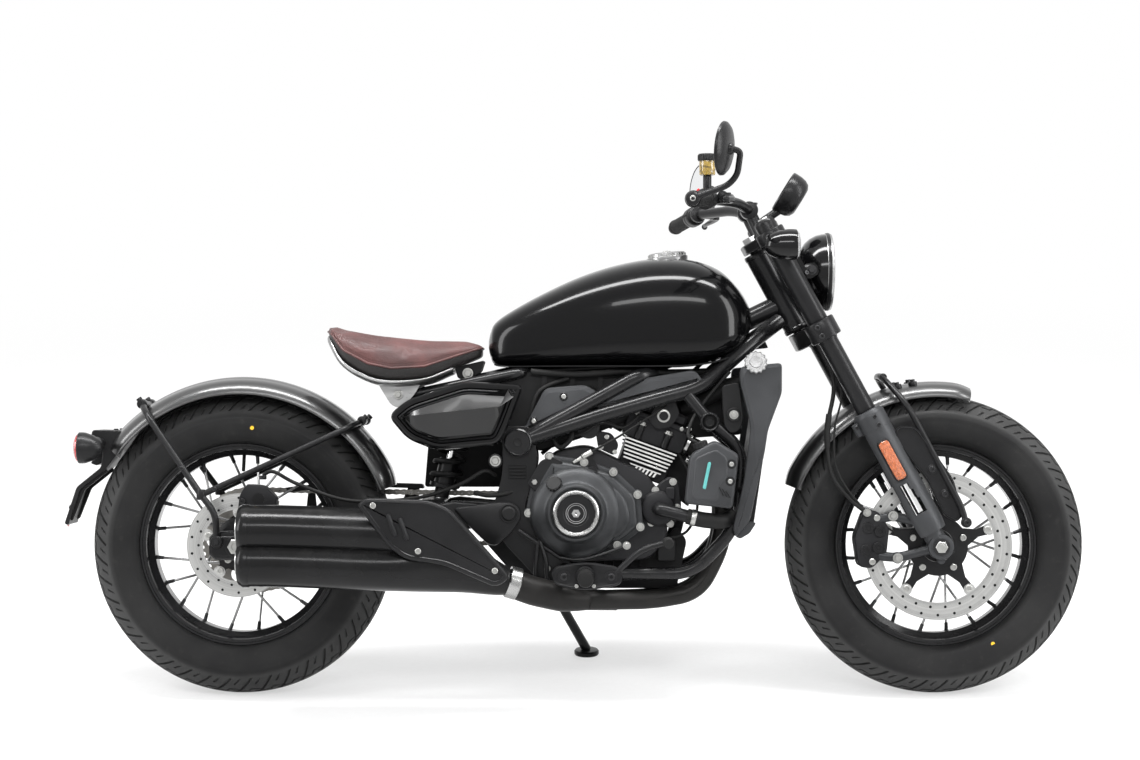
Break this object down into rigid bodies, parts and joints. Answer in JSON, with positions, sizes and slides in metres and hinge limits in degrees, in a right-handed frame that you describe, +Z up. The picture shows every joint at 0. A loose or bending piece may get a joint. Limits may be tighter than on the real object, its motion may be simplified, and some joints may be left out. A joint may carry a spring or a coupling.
{
  "type": "bobber motorcycle",
  "caption": "Low cruiser motorcycle with fat tyres on wire wheels, a floating solo saddle, a forward-leaning engine and a short muffler, leaning on its side stand.",
  "frame": {"origin": "on the ground under the middle of the leaning machine", "axes": "+X forward, +Y to the rider's left, +Z up; the machine leans 11 degrees to its left, onto the side stand"},
  "size_m": [2.1802, 0.9736, 1.2451],
  "materials": {
    "tyre": "dull black road tyre",
    "rubber": "dull black rubber",
    "leather": "reddish-brown, satin",
    "bare_alloy": "fine satin",
    "grey_alloy": "dark grey satin paint",
    "black_alloy": "satin black paint",
    "black_plastic": "satin black",
    "grey_plastic": "dark grey, fine grain",
    "lamp_shell": "gloss black shell, clear lens",
    "black_steel": "satin black",
    "muffler_steel": "satin black, hollow in life",
    "gloss_paint": "gloss black",
    "tank_paint": "gloss black, hollow in life",
    "gloss_cover": "gloss black",
    "amber_plastic": "clear amber fluid",
    "bright_steel": "bright, fine brushed"
  },
  "bodies": {
    "chassis": {"main_frame": "black_steel", "fuel_tank": "tank_paint", "fuel_cap": "bare_alloy", "seat": "leather", "seat_carrier": "bare_alloy", "side_cover_left": "gloss_cover", "side_cover_right": "gloss_cover", "crankcase": "grey_alloy", "clutch_cover": "grey_alloy", "cylinder_head": "black_alloy", "radiator_core": "grey_alloy", "radiator_shroud": "grey_plastic", "coolant_tank": "grey_plastic", "exhaust_header": "black_steel", "muffler": "muffler_steel", "heat_shield": "black_alloy", "swingarm": "black_alloy", "rear_shock": "bright_steel", "rear_fender": "gloss_paint", "tail_unit": "black_plastic", "rear_caliper": "grey_alloy", "drive_chain": "bright_steel", "foot_control_left": "black_alloy", "foot_control_right": "black_alloy"},
    "steering": {"fork_clamps": "black_alloy", "fork_leg_left": "black_steel", "fork_leg_right": "black_steel", "fork_guard_left": "grey_plastic", "fork_guard_right": "grey_plastic", "front_fender": "gloss_paint", "headlight": "lamp_shell", "lamp_bracket_left": "black_plastic", "lamp_bracket_right": "black_plastic", "handlebar": "black_steel", "controls_left": "rubber", "controls_right": "rubber", "brake_reservoir": "amber_plastic", "gauge": "black_plastic", "mirror_left": "black_plastic", "mirror_right": "black_plastic", "front_caliper": "grey_alloy", "brake_hose": "rubber"},
    "front_wheel": {"front_wheel": "black_alloy", "front_tyre": "tyre", "front_disc": "bright_steel"},
    "rear_wheel": {"rear_wheel": "black_alloy", "rear_tyre": "tyre", "rear_disc": "bright_steel", "rear_sprocket": "bright_steel"},
    "stand": {"side_stand": "black_steel"}
  },
  "joints": [
    {"name": "steering", "type": "hinge", "parent": "chassis", "child": "steering", "pos_m": [0.74224, -0.15717, 0.29751], "axis": [-0.4772, 0.1677, 0.8627], "range_deg": [-36, 36]},
    {"name": "front_wheel_spin", "type": "hinge", "parent": "steering", "child": "front_wheel", "pos_m": [0.773, -0.15398, 0.3139], "axis": [0, 0.9816, -0.1908], "continuous": true},
    {"name": "rear_wheel_spin", "type": "hinge", "parent": "chassis", "child": "rear_wheel", "pos_m": [-0.712, -0.15357, 0.31604], "axis": [0, 0.9816, -0.1908], "continuous": true},
    {"name": "side_stand_fold", "type": "hinge", "parent": "chassis", "child": "stand", "pos_m": [-0.072, -0.0158, 0.22818], "axis": [0.1816, 0.899, 0.3985], "range_deg": [0, 107]}
  ]
}
